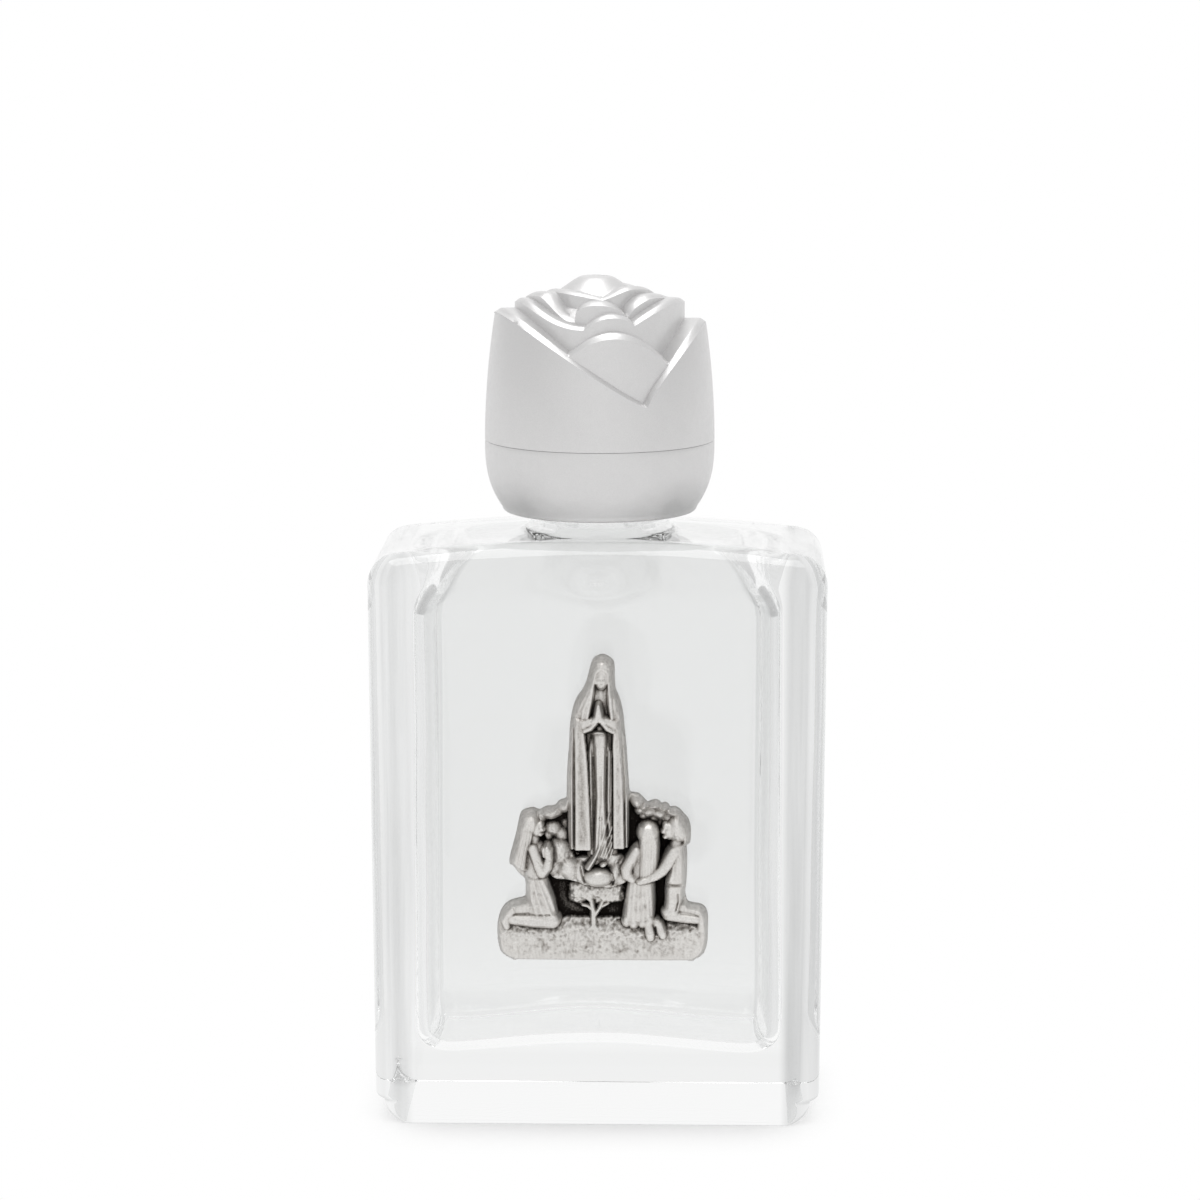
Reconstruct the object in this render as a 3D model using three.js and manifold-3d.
// A small glass bottle for holy water: a pressed rectangular flask, a silver rose screw cap, a cast relief.
// Millimetres, +Z up. The origin is on the neck's axis, in the plane the bottle stands on. -Y is the front.
// Azimuths round the neck's axis are in degrees, counted from the front towards +X.
import * as THREE from 'three';
import { mergeVertices } from 'three/addons/utils/BufferGeometryUtils.js';
import Module from 'manifold-3d';

const wasm = await Module();
wasm.setup();

// Glass body, outside
const BODY_HALF_WIDTH = 18.75;
const BODY_HALF_DEPTH = 10;
const BODY_DRAFT = 0.35;          // how much narrower each side is at the heel
const BODY_EDGE_RADIUS = 2;       // the four upright edges
const BODY_HEIGHT = 47.4;
const SHOULDER_RADIUS = 2.6;
const SHOULDER_CROWN = 0.95;      // how much higher the shoulders' edges are at the middle than at the ends
const SHOULDER_PEAK = 1.15;       // what the crown rises further in from its edges to the neck's axis
const FOOT_RADIUS = 1.9;
const FOOT_STEP = 0.7;            // how far the foot stands in from the body
const HEEL_RADIUS = 0.4;
const FOOT_LEDGE_RISE = 0.05;     // from the foot's outer edge in to the body's heel
const CORNER_SHRINK = 0.6;        // what an upright corner's radius loses for each millimetre of inset
const LEAST_CORNER_RADIUS = 0.3;

// Glass body, inside
const SIDE_WALL = 3.6;
const FACE_WALL = 3;
const FLOOR_WALL = 6.3;
const SHOULDER_WALL = 2.6;
const CAVITY_CROWN = 0.9;         // the floor's rise at its middle
const CAVITY_EDGE_RADIUS = 4.2;
const CAVITY_FLOOR_RADIUS = 1.9;
const CAVITY_CEILING_RADIUS = 4.6;

// Neck and its thread
const NECK_HEIGHT = 11.2;
const NECK_RADIUS = 5.7;
const NECK_WALL = 2;
const NECK_ROOT_FILLET = 1.1;
const RIM_RADIUS = 0.5;
const BORE_FLARE = 1.2;           // how much wider the bore opens into the body
const THREAD_PITCH = 2.117;
const THREAD_DEPTH = 0.75;
const THREAD_TURNS = 1.75;
const THREAD_TOP_GAP = 1.9;       // from the rim down to the end of the thread
const THREAD_ROOT_WIDTH = 1.1;
const THREAD_CREST_WIDTH = 0.45;
const THREAD_RUN_OUT = 40;        // degrees over which a thread's end fades away
const THREAD_END = 0.1;           // share of a thread's depth that is left at its very end
const THREAD_SINK = 0.3;          // how deep a thread's root sits in the wall that carries it

// Closure
const LINER_RADIUS = 6.3;
const LINER_THICKNESS = 1.5;
const SEAT_GAP = 0.05;            // between faces that press on each other
const INSERT_THREAD_TURNS = 1.25;
const INSERT_THREAD_CLEARANCE = 0.25;
const INSERT_BORE_CLEARANCE = 0.35;
const FLANK_GAP = 0.17;           // between the loaded sides of the two threads
const INSERT_WALL = 0.75;
const INSERT_TOP = 1.1;
const INSERT_RIB = 0.22;
const INSERT_RIBS = 24;
const FIT_GAP = 0.12;             // between the inner cap and the shells around it
const CAP_WALL = 1.83;            // from the inner cap's bore to the outside, at the seam
const SEAM_BELOW_RIM = 2.8;
const BASE_HEIGHT = 5.9;
const ROSE_HEIGHT = 13.5;
const BASE_TUCK = 1.7;            // how much narrower the cap is at its bottom
const BASE_CURVE = 2.8;           // exponent of that curve
const BASE_EDGE_RADIUS = 0.35;
const BASE_FLOOR = 1.4;
const BASE_LEDGE = 0.8;           // how far the base shell's floor reaches under the inner cap
const SPIGOT_HEIGHT = 1.6;
const SPIGOT_WALL = 0.85;
const SPIGOT_GAP = 0.1;
const ROSE_TAPER = 0.82;          // how much narrower the rose is at its tips than at the seam
const ROSE_TAPER_CURVE = 1.9;
const ROSE_TIP_HEIGHT = 10.2;
const LEDGE_REACH = 2.6;          // how far a petal's ledge runs in behind its edge
const ROSE_HOLLOW_RADIUS = 4.2;
const ROSE_HOLLOW_HEIGHT = 9.4;
const ROSE_HOLLOW_FILLET = 1;
const BUD_OFFSET_X = -0.3;
// The bud's side from its foot upwards: radius and distance below the cap's top
const BUD_SIDE = [[3.6, 1.4], [2.6, 0.82], [1.7, 0.38], [1.05, 0.07], [0.8, 0], [0.5, 0.12]];

// The petals, cup by cup from the outside in. Inset is from the cap's radius, and swell is what the front
// and the back gain again. Bevel and rise are the width and height of the bevel on the edge, and slope is how
// steeply the ledge behind it climbs inwards. Each point of the upper edge is [azimuth, height above the
// seam, bow of the stretch up to the next point], with tips and notches in turn.
const PETAL_CUPS = [
  { inset: 0, swell: 0, bevel: 0.42, rise: 0.36, slope: 0, tapered: true,
    edge: [[-74, 10.65, 1.2], [26, 3.8, 0.76], [86, 9.7, 1], [148, 5.7, 0.8], [184, 10, 1],
      [222, 5.7, 0.6]] },
  { inset: 0.8, swell: 0, bevel: 0.42, rise: 0.55, slope: 0,
    edge: [[-31, 5.5, 1], [9, 9.13, 0.85], [49, 5.5, 1], [108, 5.5, 1], [147, 9.2, 1], [186, 5.5, 1],
      [224, 9.2, 1], [266, 5.5, 1]] },
  { inset: 2.5, swell: 0.5, bevel: 0.25, rise: 0.22, slope: 0.05,
    edge: [[-68, 11.55, 2.1], [-8, 9.7, 0.8], [9, 10.7, 0.6], [24, 10, 0.85], [67, 11.6, 1], [132, 9.8, 1],
      [185, 11.3, 1], [238, 9.8, 1]] },
  { inset: 3.4, swell: 0, bevel: 0.2, rise: 0.1, slope: -0.1,
    edge: [[-54, 12.4, 2.2], [-18, 10.3, 0.25], [0, 11.8, 0.55], [23, 10.5, 0.6], [49, 12.3, 1],
      [105, 10.9, 1], [160, 12.1, 1], [235, 10.8, 1]] },
  { inset: 5, swell: 0, bevel: 0.2, rise: 0.08, slope: -0.15,
    edge: [[-50, 12.5, 1], [4, 12, 1.3], [40, 12.85, 1], [104, 11.8, 1], [172, 12.6, 1], [240, 11.8, 1]] },
];

// Relief: sizes in its own plane, u to the right from its middle and v up from its lower edge
const PLAQUE_OFFSET_X = 0.5;
const PLAQUE_BOTTOM_Z = 14.4;
const PLAQUE_HALF_WIDTH = 8.65;
const GROUND_HEIGHT = 3.5;
const GROUND_DEPTH = 2.1;
const GROUND_CORNER = 1.6;
const BACK_DEPTH = 1;
const BACK_HALF_WIDTH = 5;
const BACK_HEIGHT = 13.2;
const BACK_CORNER = 2.4;
const RELIEF_DEPTH = 3.4;         // no figure stands out further than this
const RELIEF_REACH = 60;          // wider and higher than the whole relief
const ADHESIVE_THICKNESS = 0.25;
const ADHESIVE_INSET = 0.6;
const PLAQUE_GAP = 0.03;          // left at each side of the adhesive

// Facets
const CORNER_STEPS = 4;
const FILLET_STEPS = 3;
const SHOULDER_STEPS = 4;
const LONG_SIDE_STEPS = 4;
const ROUND_STEPS = 32;
const PETAL_STEPS = 54;
const PETAL_WALL_RINGS = 3;
const BASE_WALL_RINGS = 6;
const FIGURE_SIDES = 8;
const CUT_MARGIN = 1;             // how far a cutting or joined shape runs past its neighbour's face

// Heights and radii that follow from the sizes above
const RIM_Z = BODY_HEIGHT + NECK_HEIGHT;
const CAVITY_CEILING_Z = BODY_HEIGHT - SHOULDER_WALL;
const BORE_RADIUS = NECK_RADIUS - NECK_WALL;
const NECK_THREAD_Z = RIM_Z - THREAD_TOP_GAP - THREAD_TURNS * THREAD_PITCH;
const CAP_SEAM_Z = RIM_Z - SEAM_BELOW_RIM;
const CAP_BOTTOM_Z = CAP_SEAM_Z - BASE_HEIGHT;
const CAP_TOP_Z = CAP_SEAM_Z + ROSE_HEIGHT;
const LINER_Z = RIM_Z + SEAT_GAP;
const INSERT_CEILING_Z = LINER_Z + LINER_THICKNESS + SEAT_GAP;
const INSERT_TOP_Z = INSERT_CEILING_Z + INSERT_TOP;
const INSERT_BOTTOM_Z = CAP_BOTTOM_Z + BASE_FLOOR + SEAT_GAP;
const INSERT_BORE_RADIUS = NECK_RADIUS + THREAD_DEPTH + INSERT_BORE_CLEARANCE;
const INSERT_RADIUS = INSERT_BORE_RADIUS + INSERT_WALL;
const SHELL_BORE_RADIUS = INSERT_RADIUS + FIT_GAP;
const CAP_RADIUS = SHELL_BORE_RADIUS + CAP_WALL;

const radians = THREE.MathUtils.degToRad;
const lerp = THREE.MathUtils.lerp;

// A closed geometry as a solid that can be joined and cut
function toSolid(geometry) {
  const bare = geometry.clone();
  bare.deleteAttribute('normal');
  bare.deleteAttribute('uv');
  const merged = mergeVertices(bare);
  const old = merged.index.array;
  const triVerts = [];
  for (let i = 0; i < old.length; i += 3) {
    const [a, b, c] = [old[i], old[i + 1], old[i + 2]];
    if (a !== b && b !== c && c !== a) triVerts.push(a, b, c);
  }
  return new wasm.Manifold(new wasm.Mesh({
    numProp: 3,
    vertProperties: new Float32Array(merged.attributes.position.array),
    triVerts: new Uint32Array(triVerts),
  }));
}

function joinAll(solids) {
  return solids.reduce((whole, next) => whole.add(next));
}

// A named mesh with a material of its own
function toMesh(name, solid, material) {
  const { vertProperties, triVerts } = solid.getMesh();
  const geometry = new THREE.BufferGeometry();
  geometry.setAttribute('position', new THREE.BufferAttribute(vertProperties, 3));
  geometry.setIndex(new THREE.BufferAttribute(triVerts, 1));
  geometry.computeVertexNormals();
  const mesh = new THREE.Mesh(geometry, material);
  mesh.name = name;
  return mesh;
}

// A skin over rings of equal count, closed by a fan at each end. Each ring runs counter-clockwise round the
// way from the first ring to the last. The ends' middle points can be lifted along z.
function loft(rings, startLift = 0, endLift = 0) {
  const count = rings[0].length;
  const points = rings.flat();
  const middle = (ring) => (
    ring.reduce((total, point) => total.add(point), new THREE.Vector3()).divideScalar(count));
  points.push(middle(rings[0]), middle(rings[rings.length - 1]));
  points[points.length - 2].z += startLift;
  points[points.length - 1].z += endLift;
  const start = points.length - 2;
  const end = points.length - 1;
  const lastRing = (rings.length - 1) * count;
  const index = [];
  for (let i = 0; i < count; i++) {
    const next = (i + 1) % count;
    for (let k = 0; k < lastRing; k += count) {
      index.push(k + i, k + next, k + count + next, k + i, k + count + next, k + count + i);
    }
    index.push(start, next, i, end, lastRing + i, lastRing + next);
  }
  const numbers = points.flatMap((point) => point.toArray());
  const geometry = new THREE.BufferGeometry();
  geometry.setAttribute('position', new THREE.Float32BufferAttribute(numbers, 3));
  geometry.setIndex(index);
  return geometry;
}

// A body of revolution about Z from a profile of [radius, z] points, which runs upwards on its outer side
function revolve(profile, steps = ROUND_STEPS) {
  const points = profile.map(([r, z]) => new THREE.Vector2(r, z));
  return toSolid(new THREE.LatheGeometry(points, steps).rotateX(Math.PI / 2));
}

// Points of a quarter round from angle a to angle b, in degrees, as [x, y]
function arc(x, y, radius, a, b, steps = FILLET_STEPS) {
  return Array.from({ length: steps + 1 }, (_, i) => {
    const angle = radians(lerp(a, b, i / steps));
    return [x + radius * Math.cos(angle), y + radius * Math.sin(angle)];
  });
}

// A point on a circle about the Z axis, at an azimuth counted from the front
function around(azimuth, radius, z) {
  return new THREE.Vector3(radius * Math.sin(radians(azimuth)), -radius * Math.cos(radians(azimuth)), z);
}

// A level ring with the outline of a rectangle with round corners. Its front and its back can be divided.
function roundedRing(halfWidth, halfDepth, radius, z, sideSteps = 1) {
  const corners = [[1, 1, 0], [-1, 1, 90], [-1, -1, 180], [1, -1, 270]];
  return corners.flatMap(([sx, sy, start]) => {
    const straight = sx * (halfWidth - radius);
    const points = arc(straight, sy * (halfDepth - radius), radius, start, start + 90, CORNER_STEPS);
    for (let i = 1; i < sideSteps && sx === sy; i++) {
      points.push([lerp(straight, -straight, i / sideSteps), sy * halfDepth]);
    }
    return points.map(([x, y]) => new THREE.Vector3(x, y, z));
  });
}

// Radius of an upright corner where the wall is inset, as in a fillet
function cornerRadius(radius, inset) {
  return Math.max(radius - inset * CORNER_SHRINK, LEAST_CORNER_RADIUS);
}

// How far the crown lifts the top of the shoulders at a distance from the middle
function shoulderLift(x) {
  return SHOULDER_CROWN * Math.max(0, 1 - (x / (BODY_HALF_WIDTH - SHOULDER_RADIUS)) ** 2);
}

// The body's outside: a stepped foot, upright walls with a slight draft, and rounded, crowned shoulders
function bodyOutside() {
  const ring = (inset, z) => {
    const draft = BODY_DRAFT * (1 - z / BODY_HEIGHT);
    const share = Math.max(0, 1 - (BODY_HEIGHT - z) / SHOULDER_RADIUS);
    const points = roundedRing(
      BODY_HALF_WIDTH - draft - inset, BODY_HALF_DEPTH - inset, cornerRadius(BODY_EDGE_RADIUS, inset), z,
      LONG_SIDE_STEPS);
    return points.map(({ x, y }) => new THREE.Vector3(x, y, z + share * shoulderLift(x)));
  };
  const foot = arc(FOOT_STEP + FOOT_RADIUS, FOOT_RADIUS, FOOT_RADIUS, -90, -180);
  const heel = arc(HEEL_RADIUS, FOOT_RADIUS + FOOT_LEDGE_RISE + HEEL_RADIUS, HEEL_RADIUS, -90, -180);
  const shoulderZ = BODY_HEIGHT - SHOULDER_RADIUS;
  const shoulder = arc(SHOULDER_RADIUS, shoulderZ, SHOULDER_RADIUS, 180, 90, SHOULDER_STEPS);
  const rings = [...foot, ...heel, ...shoulder].map(([inset, z]) => ring(inset, z));
  return toSolid(loft(rings, 0, SHOULDER_PEAK));
}

// The space for the water, with a crowned floor and a vaulted ceiling
function bodyCavity() {
  const ring = (inset, z) => roundedRing(
    BODY_HALF_WIDTH - SIDE_WALL - inset, BODY_HALF_DEPTH - FACE_WALL - inset,
    cornerRadius(CAVITY_EDGE_RADIUS, inset), z);
  const floorZ = FLOOR_WALL + CAVITY_FLOOR_RADIUS;
  const floor = arc(CAVITY_FLOOR_RADIUS, floorZ, CAVITY_FLOOR_RADIUS, -90, -180);
  const ceilingZ = CAVITY_CEILING_Z - CAVITY_CEILING_RADIUS;
  const ceiling = arc(CAVITY_CEILING_RADIUS, ceilingZ, CAVITY_CEILING_RADIUS, 180, 90, SHOULDER_STEPS);
  const rings = [...floor, ...ceiling].map(([inset, z]) => ring(inset, z));
  return toSolid(loft(rings, CAVITY_CROWN));
}

// A helical bar with a tapered section. It grows from the wall radius to the crest radius, out or in, and
// sinks a little into the wall. It starts at azimuth 0, with its middle line at baseZ there.
function threadBar(wallRadius, crestRadius, baseZ, turns) {
  const buried = wallRadius + Math.sign(wallRadius - crestRadius) * THREAD_SINK;
  const steps = Math.round(turns * ROUND_STEPS);
  const rings = [];
  for (let i = 0; i <= steps; i++) {
    const angle = (i * 360) / ROUND_STEPS;
    const fade = Math.min(1, Math.min(i, steps - i) * (360 / ROUND_STEPS) / THREAD_RUN_OUT);
    const crest = lerp(wallRadius, crestRadius, lerp(THREAD_END, 1, Math.sin(fade * Math.PI / 2)));
    const z = baseZ + (THREAD_PITCH * angle) / 360;
    const ring = [
      around(angle, buried, z - THREAD_ROOT_WIDTH / 2), around(angle, buried, z + THREAD_ROOT_WIDTH / 2),
      around(angle, crest, z + THREAD_CREST_WIDTH / 2), around(angle, crest, z - THREAD_CREST_WIDTH / 2),
    ];
    rings.push(crestRadius > wallRadius ? ring : ring.reverse());
  }
  return toSolid(loft(rings));
}

function glassBottle() {
  const rootRadius = NECK_RADIUS + NECK_ROOT_FILLET;
  const filletZ = BODY_HEIGHT + shoulderLift(rootRadius) + NECK_ROOT_FILLET;
  const neck = revolve([
    [0, BODY_HEIGHT - CUT_MARGIN],
    [rootRadius, BODY_HEIGHT - CUT_MARGIN],
    ...arc(rootRadius, filletZ, NECK_ROOT_FILLET, -90, -180),
    ...arc(NECK_RADIUS - RIM_RADIUS, RIM_Z - RIM_RADIUS, RIM_RADIUS, 0, 90),
    [0, RIM_Z],
  ]);
  const flareZ = CAVITY_CEILING_Z + BORE_FLARE;
  const boreBottom = CAVITY_CEILING_Z - CAVITY_CEILING_RADIUS;
  const bore = revolve([
    [0, boreBottom],
    [BORE_RADIUS + BORE_FLARE, boreBottom],
    ...arc(BORE_RADIUS + BORE_FLARE, flareZ, BORE_FLARE, -90, -180),
    ...arc(BORE_RADIUS + RIM_RADIUS, RIM_Z - RIM_RADIUS, RIM_RADIUS, 180, 90),
    [BORE_RADIUS + RIM_RADIUS, RIM_Z + CUT_MARGIN],
    [0, RIM_Z + CUT_MARGIN],
  ]);
  const thread = threadBar(NECK_RADIUS, NECK_RADIUS + THREAD_DEPTH, NECK_THREAD_Z, THREAD_TURNS);
  return bodyOutside().add(neck).subtract(bodyCavity()).subtract(bore).add(thread);
}

function sealingLiner() {
  const top = LINER_Z + LINER_THICKNESS;
  return revolve([[0, LINER_Z], [LINER_RADIUS, LINER_Z], [LINER_RADIUS, top], [0, top]]);
}

// The inner cap: a ribbed outside, a bore with the thread that runs just under the neck's thread
function threadInsert() {
  const outline = new THREE.Shape();
  for (let i = 0; i < INSERT_RIBS * 4; i++) {
    const angle = (i * Math.PI) / (INSERT_RIBS * 2);
    const radius = i % 4 < 2 ? INSERT_RADIUS : INSERT_RADIUS - INSERT_RIB;
    const [x, y] = [radius * Math.cos(angle), radius * Math.sin(angle)];
    if (i === 0) outline.moveTo(x, y);
    else outline.lineTo(x, y);
  }
  const depth = INSERT_TOP_Z - INSERT_BOTTOM_Z;
  const outside = new THREE.ExtrudeGeometry(outline, { depth, bevelEnabled: false })
    .translate(0, 0, INSERT_BOTTOM_Z);
  const bore = revolve([
    [0, INSERT_BOTTOM_Z - CUT_MARGIN],
    [INSERT_BORE_RADIUS, INSERT_BOTTOM_Z - CUT_MARGIN],
    [INSERT_BORE_RADIUS, INSERT_CEILING_Z],
    [0, INSERT_CEILING_Z],
  ]);
  // A bar's half width at a distance from its wall. The two bars come closest at one crest or the other.
  const halfWidth = (distance, depth) => lerp(THREAD_ROOT_WIDTH, THREAD_CREST_WIDTH, distance / depth) / 2;
  const crestRadius = NECK_RADIUS + INSERT_THREAD_CLEARANCE;
  const spacing = FLANK_GAP + THREAD_CREST_WIDTH / 2 + Math.max(
    halfWidth(INSERT_THREAD_CLEARANCE, THREAD_DEPTH),
    halfWidth(INSERT_BORE_CLEARANCE, INSERT_BORE_RADIUS - crestRadius));
  const thread = threadBar(INSERT_BORE_RADIUS, crestRadius, NECK_THREAD_Z - spacing, INSERT_THREAD_TURNS);
  return toSolid(outside).subtract(bore).add(thread);
}

function capBaseShell() {
  const outer = Array.from({ length: BASE_WALL_RINGS + 1 }, (_, i) => {
    const depth = (1 - i / BASE_WALL_RINGS) * (BASE_HEIGHT - BASE_EDGE_RADIUS);
    return [CAP_RADIUS - BASE_TUCK * (depth / BASE_HEIGHT) ** BASE_CURVE, CAP_SEAM_Z - depth];
  });
  const holeRadius = SHELL_BORE_RADIUS - BASE_LEDGE;
  const spigotTop = CAP_SEAM_Z + SPIGOT_HEIGHT;
  const floorZ = CAP_BOTTOM_Z + BASE_FLOOR;
  return revolve([
    [holeRadius, CAP_BOTTOM_Z],
    [outer[0][0] - BASE_EDGE_RADIUS, CAP_BOTTOM_Z],
    ...outer,
    [SHELL_BORE_RADIUS + SPIGOT_WALL, CAP_SEAM_Z],
    [SHELL_BORE_RADIUS + SPIGOT_WALL, spigotTop],
    [SHELL_BORE_RADIUS, spigotTop],
    [SHELL_BORE_RADIUS, floorZ],
    [holeRadius, floorZ],
    [holeRadius, CAP_BOTTOM_Z],
  ], PETAL_STEPS);
}

// Height of a petal edge at an azimuth. Between a tip and a notch it rises from the notch along a sine curve.
function edgeHeight(edge, azimuth) {
  const turned = ((azimuth - edge[0][0]) % 360 + 360) % 360 + edge[0][0];
  const i = edge.findLastIndex(([at]) => at <= turned);
  const [from, fromZ, bow] = edge[i];
  const [to, toZ] = i + 1 < edge.length ? edge[i + 1] : [edge[0][0] + 360, edge[0][1]];
  const share = (turned - from) / (to - from);
  const rise = Math.sin((Math.PI / 2) * (fromZ < toZ ? share : 1 - share)) ** bow;
  return Math.min(fromZ, toZ) + Math.abs(toZ - fromZ) * rise;
}

// Outer radius of a cup at an azimuth and a height above the seam
function cupRadius(cup, azimuth, height) {
  const radius = CAP_RADIUS - cup.inset + cup.swell * Math.cos(radians(azimuth)) ** 2;
  return cup.tapered ? radius - ROSE_TAPER * (height / ROSE_TIP_HEIGHT) ** ROSE_TAPER_CURVE : radius;
}

// One cup of petals: a round wall up to the petals' edge, a bevel on the edge and a ledge behind the bevel
function petalCup(cup) {
  const ringAt = (heightFor, inward) => Array.from({ length: PETAL_STEPS }, (_, i) => {
    const azimuth = (i * 360) / PETAL_STEPS;
    const edge = edgeHeight(cup.edge, azimuth);
    const radius = cupRadius(cup, azimuth, Math.min(heightFor(edge), edge));
    return around(azimuth, radius - inward, CAP_SEAM_Z + heightFor(edge));
  });
  const wallRings = cup.tapered ? PETAL_WALL_RINGS : 1;
  const rings = [];
  for (let k = 0; k <= wallRings; k++) {
    rings.push(ringAt((edge) => lerp(SEAT_GAP, edge, k / wallRings), 0));
  }
  rings.push(ringAt((edge) => edge + cup.rise, cup.bevel));
  rings.push(ringAt((edge) => edge + cup.rise + cup.slope * (LEDGE_REACH - cup.bevel), LEDGE_REACH));
  return toSolid(loft(rings));
}

// The rolled bud in the middle, with a dimple in its top
function roseBud() {
  const side = BUD_SIDE.map(([radius, below]) => [radius, CAP_TOP_Z - below]);
  const [footRadius] = BUD_SIDE[0];
  const [, dimple] = BUD_SIDE[BUD_SIDE.length - 1];
  const bud = revolve([
    [0, CAP_SEAM_Z + CUT_MARGIN], [footRadius, CAP_SEAM_Z + CUT_MARGIN], ...side, [0, CAP_TOP_Z - dimple],
  ]);
  return bud.translate([BUD_OFFSET_X, 0, 0]);
}

function capRoseShell() {
  const socketTop = CAP_SEAM_Z + SPIGOT_HEIGHT + SEAT_GAP + FIT_GAP;
  const socketRadius = SHELL_BORE_RADIUS + SPIGOT_WALL + SPIGOT_GAP;
  const inside = revolve([
    [0, CAP_SEAM_Z - CUT_MARGIN],
    [socketRadius, CAP_SEAM_Z - CUT_MARGIN],
    [socketRadius, socketTop],
    [SHELL_BORE_RADIUS, socketTop],
    [SHELL_BORE_RADIUS, INSERT_TOP_Z + SEAT_GAP],
    [ROSE_HOLLOW_RADIUS, INSERT_TOP_Z + SEAT_GAP],
    ...arc(ROSE_HOLLOW_RADIUS - ROSE_HOLLOW_FILLET, CAP_SEAM_Z + ROSE_HOLLOW_HEIGHT - ROSE_HOLLOW_FILLET,
      ROSE_HOLLOW_FILLET, 0, 90),
    [0, CAP_SEAM_Z + ROSE_HOLLOW_HEIGHT],
  ]);
  return joinAll([...PETAL_CUPS.map(petalCup), roseBud()]).subtract(inside);
}

// An ellipsoid of the relief, leaning by an angle in the relief's plane
function ellipsoid([u, v, d], [ru, rv, rd], lean = 0) {
  const geometry = new THREE.SphereGeometry(1, FIGURE_SIDES, FIGURE_SIDES / 2);
  return toSolid(geometry.scale(ru, rv, rd).rotateZ(radians(lean)).translate(u, v, d));
}

// A round-ended, tapered bar of the relief, from one point to another
function limb(from, to, fromRadius, toRadius) {
  const start = new THREE.Vector3(...from);
  const way = new THREE.Vector3(...to).sub(start);
  const length = way.length();
  const profile = [...arc(0, 0, fromRadius, -90, 0, 2), ...arc(0, length, toRadius, 0, 90, 2)];
  const geometry = new THREE.LatheGeometry(profile.map(([r, y]) => new THREE.Vector2(r, y)), FIGURE_SIDES);
  const turn = new THREE.Quaternion().setFromUnitVectors(new THREE.Vector3(0, 1, 0), way.normalize());
  return toSolid(geometry.applyQuaternion(turn).translate(start.x, start.y, start.z));
}

// Hanging cloth: rings of [height v, middle u, half width, depth], from the hem upwards
function drape(rings) {
  const sides = FIGURE_SIDES * 2;
  return toSolid(loft(rings.map(([v, u, halfWidth, depth]) => (
    Array.from({ length: sides }, (_, i) => {
      const angle = (i * 2 * Math.PI) / sides;
      return new THREE.Vector3(u + halfWidth * Math.sin(angle), v, depth * Math.cos(angle));
    })))));
}

// A plate with a flat foot and rounded upper corners, standing on v = bottom
function plate(halfWidth, bottom, top, corner, depth) {
  const outline = new THREE.Shape();
  outline.moveTo(-halfWidth, bottom);
  outline.lineTo(halfWidth, bottom);
  outline.absarc(halfWidth - corner, top - corner, corner, 0, Math.PI / 2);
  outline.absarc(-halfWidth + corner, top - corner, corner, Math.PI / 2, Math.PI);
  return new THREE.ExtrudeGeometry(outline, { depth, bevelEnabled: false, curveSegments: FILLET_STEPS * 2 });
}

// The veiled figure: a long mantle open down the front over a pleated gown, the hands joined
function standingFigure() {
  const mantle = drape([
    [8.1, -0.4, 2.2, 1.7], [9.3, -0.4, 2.4, 1.9], [13.8, -0.4, 2.55, 2], [17.5, -0.4, 2.35, 2],
    [20, -0.35, 2.15, 1.9], [21.2, -0.3, 1.6, 1.75], [22, -0.2, 1.05, 1.65], [23.3, -0.1, 1, 1.7],
    [24.4, -0.1, 0.82, 1.5], [25, -0.1, 0.4, 1],
  ]);
  const head = ellipsoid([-0.1, 23.35, 1.75], [0.52, 0.78, 0.5]);
  const nose = ellipsoid([-0.1, 23.3, 2.2], [0.1, 0.24, 0.14]);
  const veilEdges = [
    limb([-0.62, 24.1, 1.7], [-1, 21.6, 1.8], 0.2, 0.3),
    limb([0.45, 24.1, 1.7], [0.72, 21.6, 1.8], 0.2, 0.3),
  ];
  const sleeves = [
    limb([-1.7, 19.3, 1.6], [-0.5, 20.7, 2.5], 0.62, 0.26),
    limb([1, 19.3, 1.6], [-0.2, 20.7, 2.5], 0.62, 0.26),
  ];
  const hands = limb([-0.36, 20.4, 2.6], [-0.36, 21.4, 2.5], 0.3, 0.14);
  const openEdges = [
    limb([-1.75, 18.8, 1.7], [-1.6, 10, 1.85], 0.42, 0.6),
    limb([1.05, 18.8, 1.7], [1.25, 10, 1.85], 0.34, 0.5),
  ];
  const sideFolds = [
    limb([-2.2, 18.6, 0.9], [-2.4, 9, 1], 0.36, 0.4),
    limb([1.45, 18.6, 0.9], [1.6, 9, 1], 0.36, 0.4),
  ];
  const pleats = [-0.85, -0.35, 0.2, 0.65].map((u) => (
    limb([lerp(u, -0.3, 0.35), 18.6, 1.7], [u, 7.9, 1.75], 0.2, 0.3)));
  return [mantle, head, nose, ...veilEdges, ...sleeves, hands, ...openEdges, ...sideFolds, ...pleats];
}

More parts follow.
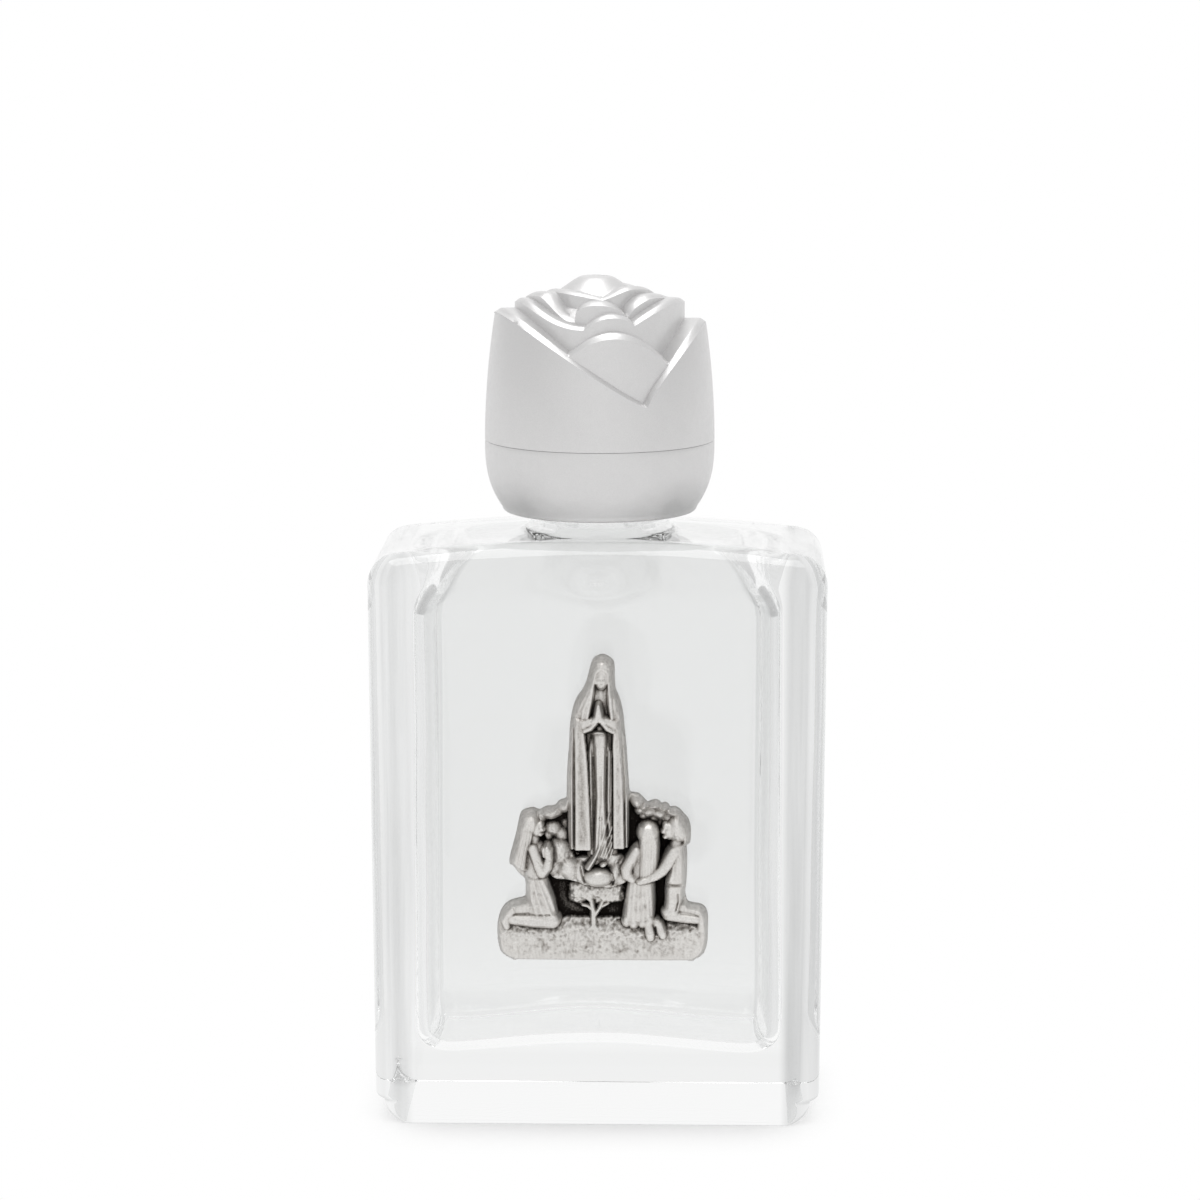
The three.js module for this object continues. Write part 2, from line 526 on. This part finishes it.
// The child on the left, kneeling in profile with a long veil and raised hands
function leftChild() {
  const head = ellipsoid([-5.5, 11.4, 1.9], [0.75, 0.9, 0.7]);
  const crown = ellipsoid([-5.95, 11.6, 1.7], [1.05, 1, 1], 20);
  const veil = limb([-6.3, 11.1, 1.5], [-7.3, 8.9, 1.3], 0.85, 0.5);
  const body = limb([-5.9, 9.6, 1.4], [-5.9, 6.7, 1.4], 0.9, 1);
  const upperArm = limb([-5.9, 9.5, 2], [-5.1, 7.5, 2.1], 0.46, 0.42);
  const forearm = limb([-5.1, 7.5, 2.1], [-4.45, 9.3, 2.2], 0.4, 0.28);
  const thigh = limb([-5.8, 6.5, 1.5], [-4.2, 3.9, 1.6], 1.05, 0.75);
  const shin = limb([-4.2, 3.8, 1.5], [-7.6, 3.6, 1.4], 0.65, 0.42);
  return [head, crown, veil, body, upperArm, forearm, thigh, shin];
}

// The child in the middle, kneeling with its back turned
function middleChild() {
  const head = ellipsoid([3.85, 10.8, 1.9], [0.9, 0.95, 0.85]);
  const veil = limb([3.8, 10.4, 1.9], [3.8, 8.1, 1.9], 0.85, 0.74);
  const back = limb([3.4, 8.6, 1.5], [3.1, 6.4, 1.5], 1, 1.05);
  const arm = limb([3, 8.8, 1.8], [1.9, 7.6, 1.8], 0.45, 0.38);
  const skirt = limb([3.1, 6.2, 1.5], [3.2, 4.1, 1.6], 1.2, 1.1);
  const foot = limb([3.3, 3.8, 1.6], [4.8, 2.7, 2], 0.6, 0.4);
  return [head, veil, back, arm, skirt, foot];
}

// The child on the right, with short hair and an arm round its neighbour
function rightChild() {
  const head = ellipsoid([6.15, 11.4, 1.8], [1.02, 1.1, 0.95]);
  const body = limb([6.4, 9.6, 1.5], [6.2, 7, 1.5], 0.92, 0.95);
  const upperArm = limb([6.3, 9.4, 2.1], [4.9, 7.6, 2.4], 0.42, 0.36);
  const forearm = limb([4.9, 7.6, 2.4], [3.1, 6.8, 2.6], 0.36, 0.26);
  const thigh = limb([6.1, 6.8, 1.5], [5.9, 4.4, 1.6], 0.95, 0.8);
  const shin = limb([5.9, 4.1, 1.5], [7.9, 3.4, 1.5], 0.62, 0.4);
  return [head, body, upperArm, forearm, thigh, shin];
}

// Rolling cloud behind and under the figure, and the small tree that carries it
function cloudAndTree() {
  const puffs = [
    [-3.6, 12.3, 1], [-4.3, 11.2, 0.9], [-3.3, 10.3, 0.9], [3.4, 12.5, 1], [4.5, 12.2, 0.8], [2.8, 10.9, 0.9],
    [-3.1, 8.1, 1], [-2, 7.1, 0.8], [1.9, 8.5, 0.8], [-0.4, 6.8, 1.1],
  ].map(([u, v, radius]) => ellipsoid([u, v, 0.9], [radius * 1.2, radius, radius * 0.8]));
  const leaves = [-1.9, -0.5, 0.9].map((u) => ellipsoid([u, 5.6, 1.1], [1, 0.65, 0.7]));
  const trunk = limb([-0.7, 2.6, 1.2], [-0.6, 5.2, 1.2], 0.34, 0.24);
  const branch = limb([-2.1, 5.6, 0.9], [1.1, 5.6, 0.9], 0.55, 0.55);
  return [...puffs, ...leaves, trunk, branch];
}

// The whole relief in its own plane, cut flat at the back
function reliefPlaque() {
  const ground = plate(PLAQUE_HALF_WIDTH, 0, GROUND_HEIGHT, GROUND_CORNER, GROUND_DEPTH)
    .rotateZ(Math.PI).translate(0, GROUND_HEIGHT, 0);
  const back = plate(BACK_HALF_WIDTH, GROUND_HEIGHT / 2, BACK_HEIGHT, BACK_CORNER, BACK_DEPTH);
  const turf = [[-6.6, 3.2], [-3.2, 3], [0.6, 3.2], [5.2, 3], [7, 3.2]]
    .map(([u, v]) => ellipsoid([u, v, 1.2], [1.5, 0.6, 1]));
  const figures = [...standingFigure(), ...leftChild(), ...middleChild(), ...rightChild()];
  const whole = joinAll([toSolid(ground), toSolid(back), ...turf, ...cloudAndTree(), ...figures]);
  const room = new THREE.BoxGeometry(RELIEF_REACH, RELIEF_REACH, RELIEF_DEPTH);
  return whole.intersect(toSolid(room.translate(0, 0, RELIEF_DEPTH / 2)));
}

function plaqueAdhesive() {
  const halfWidth = BACK_HALF_WIDTH - ADHESIVE_INSET;
  const top = BACK_HEIGHT - ADHESIVE_INSET;
  return toSolid(plate(halfWidth, ADHESIVE_INSET, top, BACK_CORNER, ADHESIVE_THICKNESS));
}

const glass = new THREE.MeshStandardMaterial({
  color: 0xf1f3f2, roughness: 0.04, transparent: true, opacity: 0.35,
});
const silverPlastic = new THREE.MeshStandardMaterial({ color: 0xcfcccb, roughness: 0.36, metalness: 0.6 });
const whitePlastic = new THREE.MeshStandardMaterial({ color: 0xf2f1ee, roughness: 0.5 });
const foam = new THREE.MeshStandardMaterial({ color: 0xfaf9f6, roughness: 0.85 });
const castSilver = new THREE.MeshStandardMaterial({ color: 0xb5afa6, roughness: 0.42, metalness: 0.9 });
const glue = new THREE.MeshStandardMaterial({ color: 0xe9e7e0, roughness: 0.3 });

const cap = new THREE.Group();
cap.add(
  toMesh('cap_base_shell', capBaseShell(), silverPlastic),
  toMesh('cap_rose_shell', capRoseShell(), silverPlastic.clone()),
  toMesh('cap_thread_insert', threadInsert(), whitePlastic),
  toMesh('sealing_liner', sealingLiner(), foam),
);

const relief = new THREE.Group();
const adhesive = toMesh('plaque_adhesive', plaqueAdhesive(), glue);
const plaque = toMesh('relief_plaque', reliefPlaque(), castSilver);
adhesive.position.z = PLAQUE_GAP;
plaque.position.z = ADHESIVE_THICKNESS + 2 * PLAQUE_GAP;
relief.add(adhesive, plaque);
relief.rotation.x = Math.PI / 2;
relief.position.set(PLAQUE_OFFSET_X, -BODY_HALF_DEPTH, PLAQUE_BOTTOM_Z);

const group = new THREE.Group();
group.add(toMesh('glass_bottle', glassBottle(), glass), cap, relief);

export default group;
